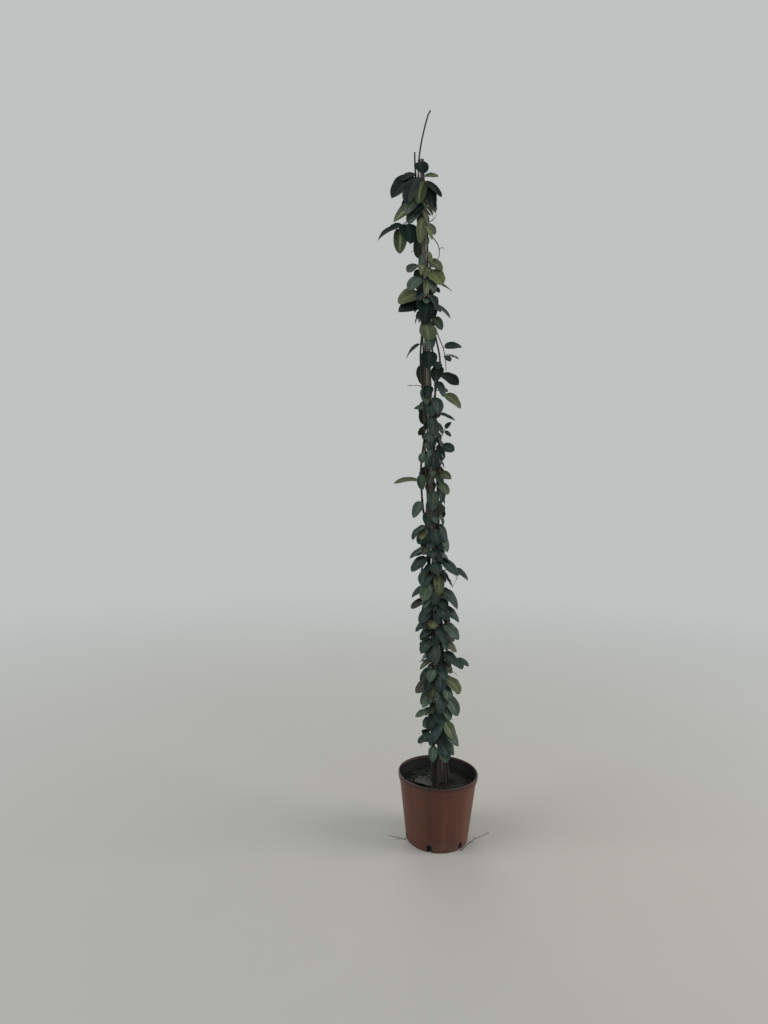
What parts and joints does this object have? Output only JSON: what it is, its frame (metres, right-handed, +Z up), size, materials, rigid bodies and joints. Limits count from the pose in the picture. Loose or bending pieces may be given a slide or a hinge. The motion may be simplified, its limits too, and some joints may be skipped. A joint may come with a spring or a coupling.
{
  "type": "potted star jasmine",
  "caption": "Evergreen climber with glossy paired leaves, its stems twining up a bamboo cane, standing in a round brown plastic nursery pot filled with soil.",
  "frame": {"origin": "centre of the flat base of the pot, on the surface that the pot stands on", "axes": "+Z up; -Y towards the viewer in the picture, so +X is to the viewer's right; the cane leans towards -X"},
  "size_m": [0.2808, 0.18, 1.6413],
  "materials": {
    "pot_plastic": "satin",
    "soil": "matte",
    "cane": "matte",
    "foliage": "satin",
    "dead_leaf": "matte",
    "root": "matte"
  },
  "bodies": {
    "root": {"pot": "pot_plastic", "soil": "soil", "bamboo_cane": "cane", "leafy_stem_1_with_whip": "foliage", "leafy_stem_2": "foliage", "leafy_stem_3": "foliage", "leafy_stem_4": "foliage", "leafy_stem_5": "foliage", "leafy_stem_6": "foliage", "leafy_stem_7": "foliage", "fallen_leaf": "dead_leaf", "root_right": "root", "root_left": "root"}
  },
  "joints": []
}
